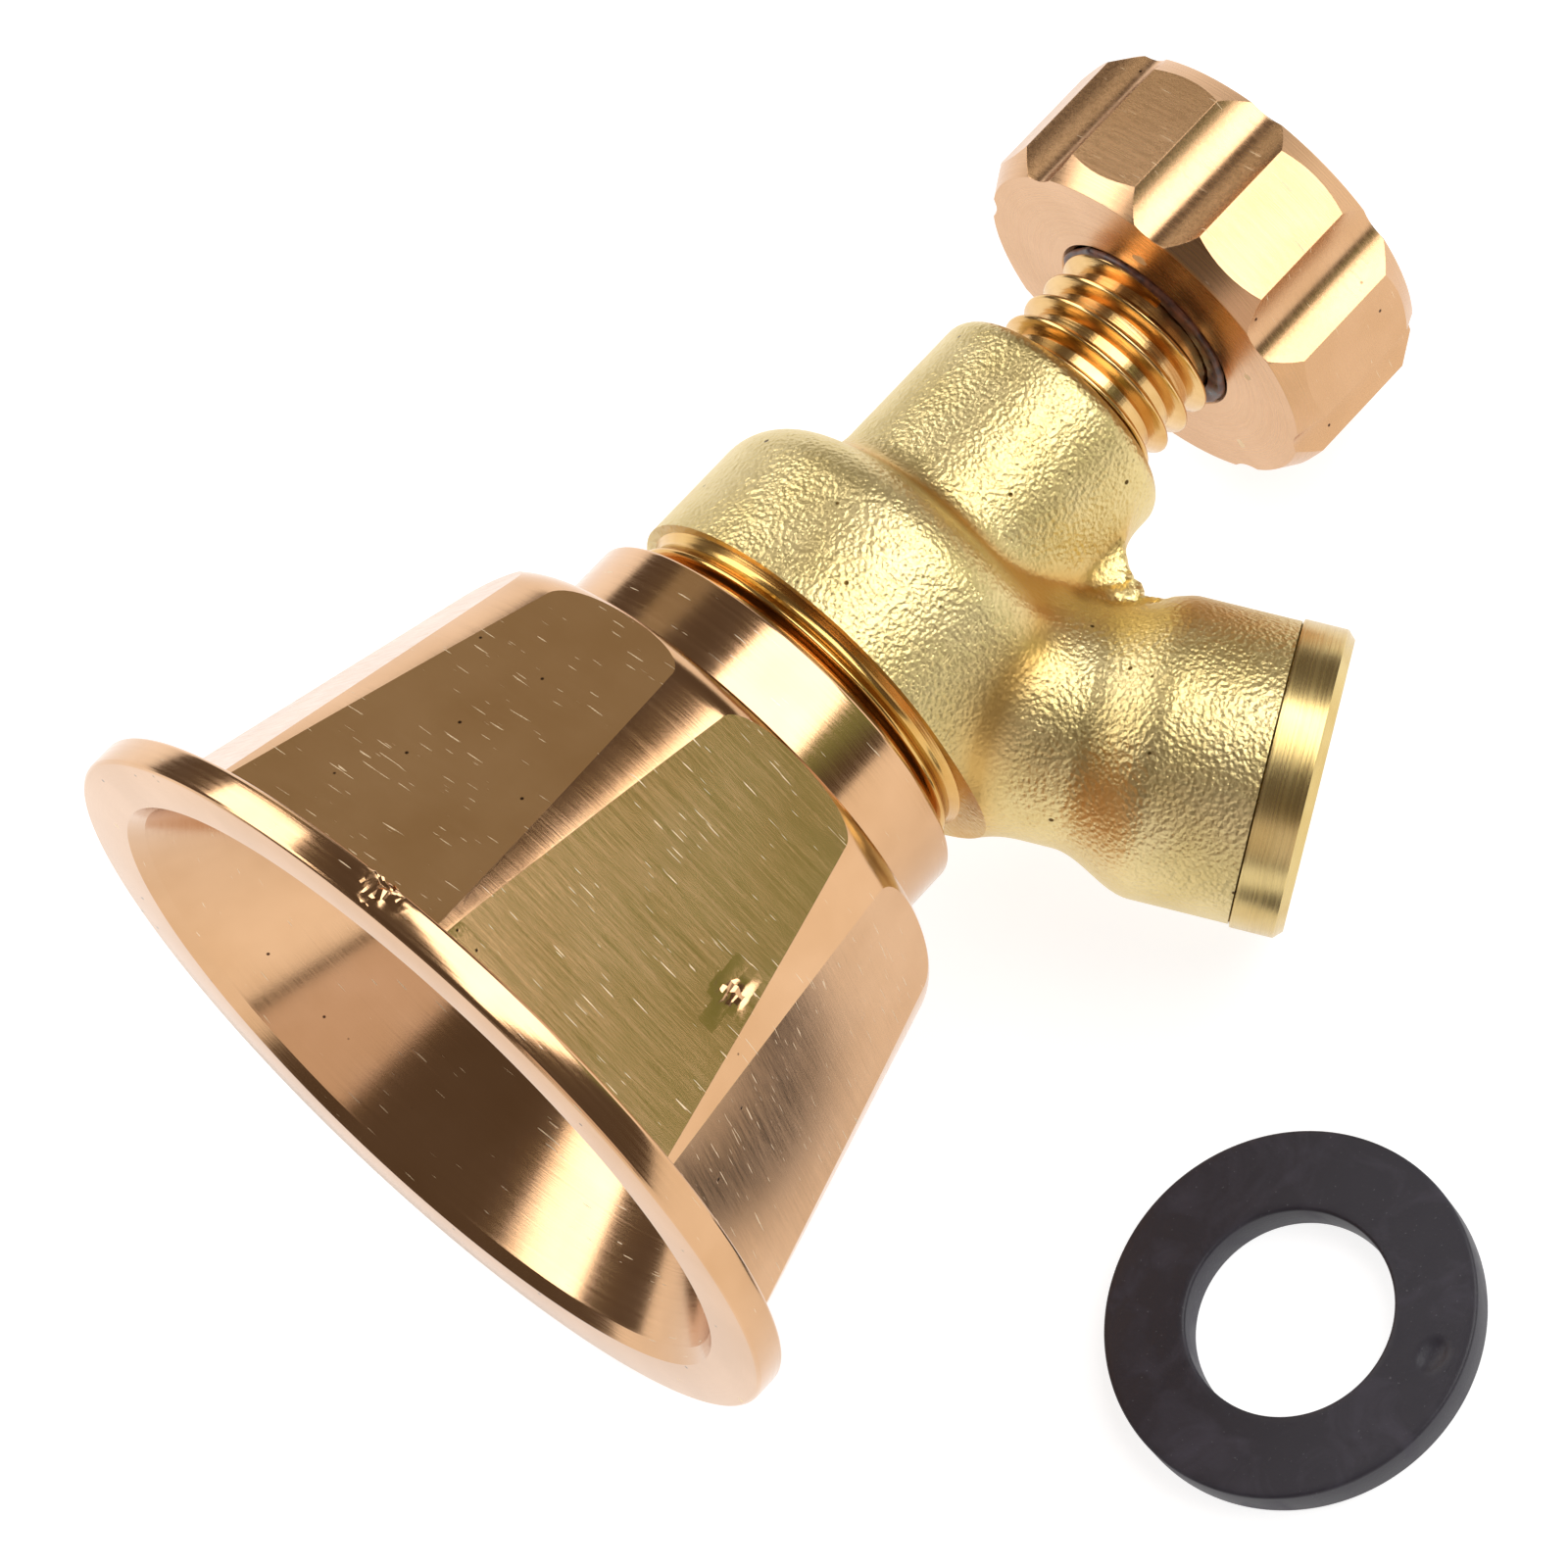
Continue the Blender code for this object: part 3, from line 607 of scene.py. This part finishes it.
def bevel_run(radius):
    """How far a column's bevel runs in from the end faces."""
    return max(0.0, radius - KNOB_FACE_R) * KNOB_BEVEL / (KNOB_R - KNOB_FACE_R)


def knob_station(row, radius):
    """Place (x, r) of one row of the knob's skin on a column of that radius."""
    back = KNOB_X + KNOB_LENGTH
    return [
        (71.0, 0.0),
        (71.0, 6.1),
        (KNOB_X + 0.3, 6.1),
        (KNOB_X, 6.4),
        (KNOB_X, 9.2),
        (KNOB_X, min(radius, KNOB_FACE_R)),
        (KNOB_X + bevel_run(radius), radius),
        (back - bevel_run(radius), radius),
        (back, min(radius, KNOB_FACE_R)),
        (back, 5.0),
        (back, 0.0),
    ][row]


KNOB_ROWS = 11
knob_bm = turned([(float(row), 0.0 if row in (0, KNOB_ROWS - 1) else 1.0) for row in range(KNOB_ROWS)], len(knob_columns))
for vert in knob_bm.verts:
    around = math.atan2(-vert.co.y, vert.co.z) / math.tau % 1.0
    angle, radius = knob_columns[round(around * len(knob_columns)) % len(knob_columns)]
    x, r = knob_station(round(vert.co.x), radius)
    turn = math.radians(angle)
    vert.co = (x, -r * math.sin(turn), r * math.cos(turn))
bmesh.ops.remove_doubles(knob_bm, verts=knob_bm.verts, dist=1e-3)
bmesh.ops.recalc_face_normals(knob_bm, faces=knob_bm.faces)


def lacquered_brass(name, place, lines, radial, streaks, roughness):
    """Machined brass under a thin rose tint: tool lines, stray scratches whose bare metal is painted near-white as a
    glint, and a few dark pits.
    """
    finish, tree, shader = new_finish(name, 1.0)
    spot = millimetres(tree, place)
    parts = add(tree, "SeparateXYZ", {"Vector": spot})
    if radial:
        across = add(tree, "VectorMath", {0: spot, 1: (0.0, 1.0, 1.0)}, operation="MULTIPLY").outputs[0]
        r = add(tree, "VectorMath", {0: across}, operation="LENGTH").outputs["Value"]
        line_spot = add(tree, "CombineXYZ", {"X": parts.outputs["X"], "Y": r}).outputs["Vector"]
    else:
        line_spot = add(tree, "VectorMath", {0: spot, 1: (1.0, 0.035, 0.035)}, operation="MULTIPLY").outputs[0]
    tool = add(tree, "TexNoise", {"Vector": line_spot, "Scale": 1.0 / lines, "Detail": 4.0, "Roughness": 0.7})
    tool = tool.outputs["Fac"]
    thin = add(tree, "VectorMath", {0: spot, 1: (8.0, 0.42, 0.42)}, operation="MULTIPLY").outputs[0]
    hair = add(tree, "TexNoise", {"Vector": thin, "Scale": 1.0, "Detail": 1.0}).outputs["Fac"]
    scratch_and_glint = ramp(tree, hair, 0.765 - streaks, 0.785 - streaks)
    sparkle = add(tree, "TexNoise", {"Vector": spot, "Scale": 1.0 / 0.16, "Detail": 1.0}).outputs["Fac"]
    dots = add(tree, "TexVoronoi", {"Vector": spot, "Scale": 1.0 / 1.7})
    pick = add(tree, "SeparateXYZ", {"Vector": dots.outputs["Color"]}).outputs["X"]
    pit = product(tree, ramp(tree, dots.outputs["Distance"], 0.05, 0.08, 1.0, 0.0), ramp(tree, pick, 0.80, 0.82))
    cloud = add(tree, "TexNoise", {"Vector": spot, "Scale": 1.0 / 7.0, "Detail": 3.0}).outputs["Fac"]
    tint = mixed(tree, ramp(tree, cloud, 0.35, 0.65), linear("D8AD84"), linear("CEA277"))
    # Scratches through the tint: bare metal, painted near-white as a glint
    tint = mixed(tree, product(tree, scratch_and_glint, 0.6), tint, linear("FFF0D0"))
    tint = mixed(tree, pit, tint, linear("4A3020"))
    tree.links.new(tint, shader.inputs["Base Color"])
    base = ramp(tree, tool, 0.3, 0.7, roughness, roughness + 0.10)
    scuffed = add(tree, "Math", {0: base, 1: product(tree, scratch_and_glint, 0.35)}, operation="ADD").outputs[0]
    tree.links.new(scuffed, shader.inputs["Roughness"])
    height = add(tree, "Math", {0: tool, 1: product(tree, sparkle, 0.25)}, operation="ADD").outputs[0]
    height = add(tree, "Math", {0: height, 1: pit}, operation="SUBTRACT").outputs[0]
    relief = add(tree, "Bump", {"Height": height, "Strength": 0.22, "Distance": 0.014 * MM})
    tree.links.new(relief.outputs["Normal"], shader.inputs["Normal"])
    return finish


# Milled and turned brass bar with a rose tint; the flutes show the cutter's lines along the axis
knob_brass = lacquered_brass("rose_tinted_milled_brass", spray_frame, 0.22, True, 0.03, 0.22)
knob = placed("knob_grip", knob_bm, spray_frame, knob_brass, 24.0)
soft_edges = knob.modifiers.new("soft_edges", "BEVEL")
soft_edges.width = 0.12 * MM
soft_edges.segments = 2
soft_edges.limit_method = "ANGLE"
soft_edges.angle_limit = math.radians(24.0)
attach(knob, "spindle")
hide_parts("knob")

# ---------------------------------------------------------------------------------------------------
# Wind hood: turned from rose-tinted brass bar with a flared bell inside and a thin rim, then milled
# with eight flats up the cone. It screws onto the spigot; its collar is left smooth and mirror-like.
# ---------------------------------------------------------------------------------------------------
RIM_R = 26.0
RIM_T = 2.1
RIM_ROUND = 0.35
MOUTH_R = 22.4
MOUTH_BREAK = 0.7
CONE_BASE_R = 23.6
CONE_TOP = (22.6, 17.9)
CROWN_R = 3.0
CROWN_X = 25.2
COLLAR_R = 13.4
COLLAR_END = 30.7
COLLAR_ROUND = 0.3
BELL_FLOOR = (17.5, 12.0)
FLATS = 8
FLAT_TURN = 20.0 - roll
FLAT_BASE = 21.9                                     # distance of a flat from the axis at the rim
FLAT_TOP = 16.65                                     # and at the crown
CONE_ROWS = 14
BELL_ROWS = 12
HOOD_STEPS = 240


def straight(start, end, count):
    """Inner points of a straight stretch of an outline."""
    return [
        tuple(a + (b - a) * i / count for a, b in zip(start, end)) for i in range(1, count)
    ]


crown_start = arc(CONE_TOP[0], CONE_TOP[1] - CROWN_R, CROWN_R, 78.0, 30.0, 10)
bell_start = (MOUTH_BREAK, MOUTH_R - MOUTH_BREAK)
hood_outline = [
    (0.0, MOUTH_R),
    *arc(RIM_ROUND, RIM_R - RIM_ROUND, RIM_ROUND, 180.0, 90.0, 4),
    *arc(RIM_T - RIM_ROUND, RIM_R - RIM_ROUND, RIM_ROUND, 90.0, 0.0, 4),
    (RIM_T, CONE_BASE_R),
    *straight((RIM_T, CONE_BASE_R), crown_start[0], CONE_ROWS),
    *crown_start,
    (CROWN_X, COLLAR_R + 0.3),
    *arc(CROWN_X + 0.3, COLLAR_R + 0.3, 0.3, 210.0, 270.0, 3),
    *arc(COLLAR_END - COLLAR_ROUND, COLLAR_R - COLLAR_ROUND, COLLAR_ROUND, 90.0, 0.0, 4),
    (COLLAR_END, 12.45), (COLLAR_END - 0.4, 12.05), (23.5, 12.05), (23.5, 11.3), (19.5, 11.3),
    (19.5, 7.5), (BELL_FLOOR[0], 7.5), (BELL_FLOOR[0], BELL_FLOOR[1] - 0.8),
    *arc(BELL_FLOOR[0] - 0.8, BELL_FLOOR[1] - 0.8, 0.8, 0.0, 60.0, 4),
    *straight((BELL_FLOOR[0] - 0.4, BELL_FLOOR[1] - 0.05), bell_start, BELL_ROWS),
    bell_start,
]
hood_bm = turned(hood_outline, HOOD_STEPS)


def radial(co):
    """Distance of a point from the nozzle's axis."""
    return math.hypot(co.y, co.z)


def flat_distance(x):
    """How far the flats stand from the axis at a station."""
    return FLAT_BASE + (FLAT_TOP - FLAT_BASE) * (x - RIM_T) / (CROWN_X - RIM_T)


def outer_wall(verts):
    """True where every point lies on the hood's outer cone or crown."""
    return all(RIM_T - 0.01 < v.co.x < CROWN_X + 0.01 and radial(v.co) > COLLAR_R + 0.5 for v in verts)


def on_flat(corners):
    """True where every corner lies on one of the milled flats."""
    if not all(RIM_T - 0.01 < co.x < CROWN_X + 0.01 and radial(co) > 14.5 for co in corners):
        return False
    middle = sum(corners, Vector()) / len(corners)
    around = math.degrees(math.atan2(-middle.y, middle.z)) - FLAT_TURN
    pitch = 360.0 / FLATS
    turn = math.radians((math.floor(around / pitch) + 0.5) * pitch + FLAT_TURN)
    out = Vector((0.0, -math.sin(turn), math.cos(turn)))
    return all(abs(co.dot(out) - flat_distance(co.x)) < 0.004 for co in corners)


slope = math.atan2(FLAT_BASE - FLAT_TOP, CROWN_X - RIM_T)
for flat_index in range(FLATS):
    turn = math.radians(FLAT_TURN + (flat_index + 0.5) * 360.0 / FLATS)
    out = Vector((0.0, -math.sin(turn), math.cos(turn)))
    normal = out * math.cos(slope) + Vector((1.0, 0.0, 0.0)) * math.sin(slope)
    near = [face for face in hood_bm.faces if outer_wall(face.verts) and face.calc_center_median().dot(out) > 12.0]
    near_verts = {vert for face in near for vert in face.verts}
    near_edges = {edge for face in near for edge in face.edges}
    bmesh.ops.bisect_plane(
        hood_bm, geom=[*near_verts, *near_edges, *near], dist=1e-4,
        plane_co=out * FLAT_BASE + Vector((RIM_T, 0.0, 0.0)), plane_no=normal,
    )
    for vert in hood_bm.verts:
        co = vert.co
        if not RIM_T - 0.01 < co.x < CROWN_X + 0.01 or radial(co) < 15.0 or radial(co) > CONE_BASE_R + 0.01:
            continue
        away = co.dot(out) - flat_distance(co.x)
        if away > 1e-4:
            keep = flat_distance(co.x) / co.dot(out)
            co.y *= keep
            co.z *= keep

# Knocks from handling: a bruise on the rim's edge and one near a corner of the flats
KNOCKS = ((1.6, -6.5, RIM_R, 1.5, 0.34), (12.2, 39.0, 20.4, 1.25, 0.22), (2.4, 1.8, 23.4, 0.7, 0.18))
for knock_x, knock_angle, knock_r, knock_size, knock_depth in KNOCKS:
    turn = math.radians(knock_angle)
    center = Vector((knock_x, -knock_r * math.sin(turn), knock_r * math.cos(turn)))
    for _ in range(2):
        dented = [edge for edge in hood_bm.edges if all((v.co - center).length < 1.7 * knock_size for v in edge.verts)]
        bmesh.ops.subdivide_edges(hood_bm, edges=dented, cuts=1, use_grid_fill=True)
    for vert in hood_bm.verts:
        reach = (vert.co - center).length / knock_size
        if reach < 1.0 and radial(vert.co) > knock_r - 2.0:
            dent = noise.noise_vector(vert.co * 2.6) * knock_depth * (1.0 - reach * reach)
            vert.co += dent - Vector((0.0, vert.co.y, vert.co.z)).normalized() * 0.4 * knock_depth * (1.0 - reach)
            limit = RIM_R / max(radial(vert.co), RIM_R)
            vert.co.y *= limit
            vert.co.z *= limit

# Three finishes of one brass: the turned rim, bell and collar, and the milled, brushed flats
turned_rose = lacquered_brass("rose_tinted_turned_brass", spray_frame, 0.12, True, 0.02, 0.10)
milled_rose = lacquered_brass("rose_tinted_brushed_brass", spray_frame, 0.14, False, 0.045, 0.15)
hood = placed("wind_hood", hood_bm, spray_frame, turned_rose, 14.0)
hood.data.materials.append(milled_rose)
seams = bmesh.new()
seams.from_mesh(hood.data)
to_local = spray_frame.inverted()
for face in seams.faces:
    corners = [to_local @ vert.co for vert in face.verts]
    face.material_index = int(on_flat(corners))
for edge in seams.edges:
    if len({face.material_index for face in edge.link_faces}) > 1:
        edge.smooth = False
seams.to_mesh(hood.data)
seams.free()
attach(hood, "hood")
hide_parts("hood")

# ---------------------------------------------------------------------------------------------------
# Loose gasket: a spare ring of moulded nitrile rubber lying flat, with its edges a little rounded
# and an oval dimple from the mould.
# ---------------------------------------------------------------------------------------------------
gasket_low, gasket_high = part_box("loose_gasket")
gasket_center = 0.5 * (gasket_low + gasket_high)
GASKET_R = 0.5 * (gasket_high.x - gasket_low.x) / MM
GASKET_T = (gasket_high.z - gasket_low.z) / MM
GASKET_HOLE_R = 6.2
EDGE = 0.22
DIMPLE_ANGLE = -73.0
DIMPLE_R = 9.1
gasket_frame = Matrix.Translation((gasket_center.x, gasket_center.y, gasket_low.z)) @ Matrix.Scale(MM, 4)
stand_up = Matrix.Rotation(math.radians(-90.0), 4, "Y")
gasket_outline = [
    *arc(EDGE, GASKET_HOLE_R + EDGE, EDGE, 270.0, 180.0, 3),
    *straight((0.0, GASKET_HOLE_R + EDGE), (0.0, GASKET_R - EDGE), 12),
    *arc(EDGE, GASKET_R - EDGE, EDGE, 180.0, 90.0, 3),
    *arc(GASKET_T - EDGE, GASKET_R - EDGE, EDGE, 90.0, 0.0, 3),
    *straight((GASKET_T, GASKET_R - EDGE), (GASKET_T, GASKET_HOLE_R + EDGE), 16),
    *arc(GASKET_T - EDGE, GASKET_HOLE_R + EDGE, EDGE, 0.0, -90.0, 3),
]
gasket_bm = turned(gasket_outline, 240)
bmesh.ops.transform(gasket_bm, matrix=stand_up, verts=gasket_bm.verts)
dimple = Vector((math.cos(math.radians(DIMPLE_ANGLE)), math.sin(math.radians(DIMPLE_ANGLE)))) * DIMPLE_R
for vert in gasket_bm.verts:
    co = vert.co
    if co.z > GASKET_T - 0.05:
        reach = math.hypot((co.x - dimple.x) / 1.15, (co.y - dimple.y) / 0.75)
        if reach < 1.0:
            co.z -= 0.22 * (1.0 - reach ** 4)
        co.z -= 0.012 * (1.0 + noise.noise(co * 0.8))
gasket = placed("spare_gasket", gasket_bm, gasket_frame, rubber, 40.0)
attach(gasket, "loose_gasket")
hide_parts("loose_gasket")

# ---------------------------------------------------------------------------------------------------
# Studio: a white matt table that glows a little from below, two large soft boxes, and dim fill.
# ---------------------------------------------------------------------------------------------------
FLOOR_HALF = 1.6
floor_bm = bmesh.new()
bmesh.ops.create_grid(floor_bm, x_segments=8, y_segments=8, size=FLOOR_HALF)
table_board, tree, shader = new_finish("white_acrylic_table", 0.0)
spot = millimetres(tree, Matrix.Scale(MM, 4))
haze = add(tree, "TexNoise", {"Vector": spot, "Scale": 1.0 / 0.9, "Detail": 3.0}).outputs["Fac"]
tree.links.new(mixed(tree, haze, linear("A4A4A6"), linear("ACACAC")), shader.inputs["Base Color"])
shader.inputs["Roughness"].default_value = 0.6
shader.inputs["Specular IOR Level"].default_value = 0.2
shader.inputs["Emission Color"].default_value = linear("FFFFFF")
shader.inputs["Emission Strength"].default_value = 0.84
floor = placed("table", floor_bm, Matrix.Identity(4), table_board)


def soft_box(name, direction, width, height, brightness, color, distance=0.62):
    """Flat rectangular light facing the object from that direction."""
    light = bpy.data.lights.new(name, "AREA")
    light.shape = "RECTANGLE"
    light.size = width
    light.size_y = height
    light.color = linear(color)[:3]
    light.energy = brightness * math.pi * width * height
    holder = bpy.data.objects.new(name, light)
    bpy.context.collection.objects.link(holder)
    away = Vector(direction).normalized()
    holder.location = away * distance
    holder.rotation_euler = away.to_track_quat("Z", "Y").to_euler()
    return holder


soft_box("key_box", (0.52, -0.38, 0.76), 0.50, 0.46, 3.8, "FFFFFF")
soft_box("back_box", (-0.12, 0.68, 0.66), 0.70, 0.34, 3.4, "FFFFFF")
soft_box("olive_card", (0.63, 0.60, 0.46), 0.34, 0.28, 0.26, "F4F0CC")
soft_box("green_card", (0.69, -0.65, 0.30), 0.36, 0.24, 0.25, "C8FF96")
soft_box("left_card", (-0.62, -0.70, 0.34), 0.46, 0.34, 0.75, "FFF4F2")

world = bpy.data.worlds.new("studio")
bpy.context.scene.world = world
world.use_nodes = True
backdrop = world.node_tree.nodes["Background"]
backdrop.inputs["Color"].default_value = linear("62584F")
backdrop.inputs["Strength"].default_value = 1.0

CAMERA_LENS = 171.2
CAMERA_DISTANCE = 0.42044
CAMERA_AIM = (-0.00914, 0.0051, 0.0275)
camera_data = bpy.data.cameras.new("camera")
camera_data.lens = CAMERA_LENS
camera_data.sensor_width = 36.0
camera = bpy.data.objects.new("camera", camera_data)
bpy.context.collection.objects.link(camera)
swing = Matrix.Rotation(math.radians(-12.8), 4, "Z")
tip = Matrix.Rotation(math.radians(31.45), 4, "X")
lean = Matrix.Rotation(math.radians(-41.04), 4, "Z")
camera.matrix_world = Matrix.Translation(CAMERA_AIM) @ swing @ tip @ lean @ Matrix.Translation((0, 0, CAMERA_DISTANCE))
bpy.context.scene.camera = camera
bpy.context.scene.view_settings.view_transform = "Standard"
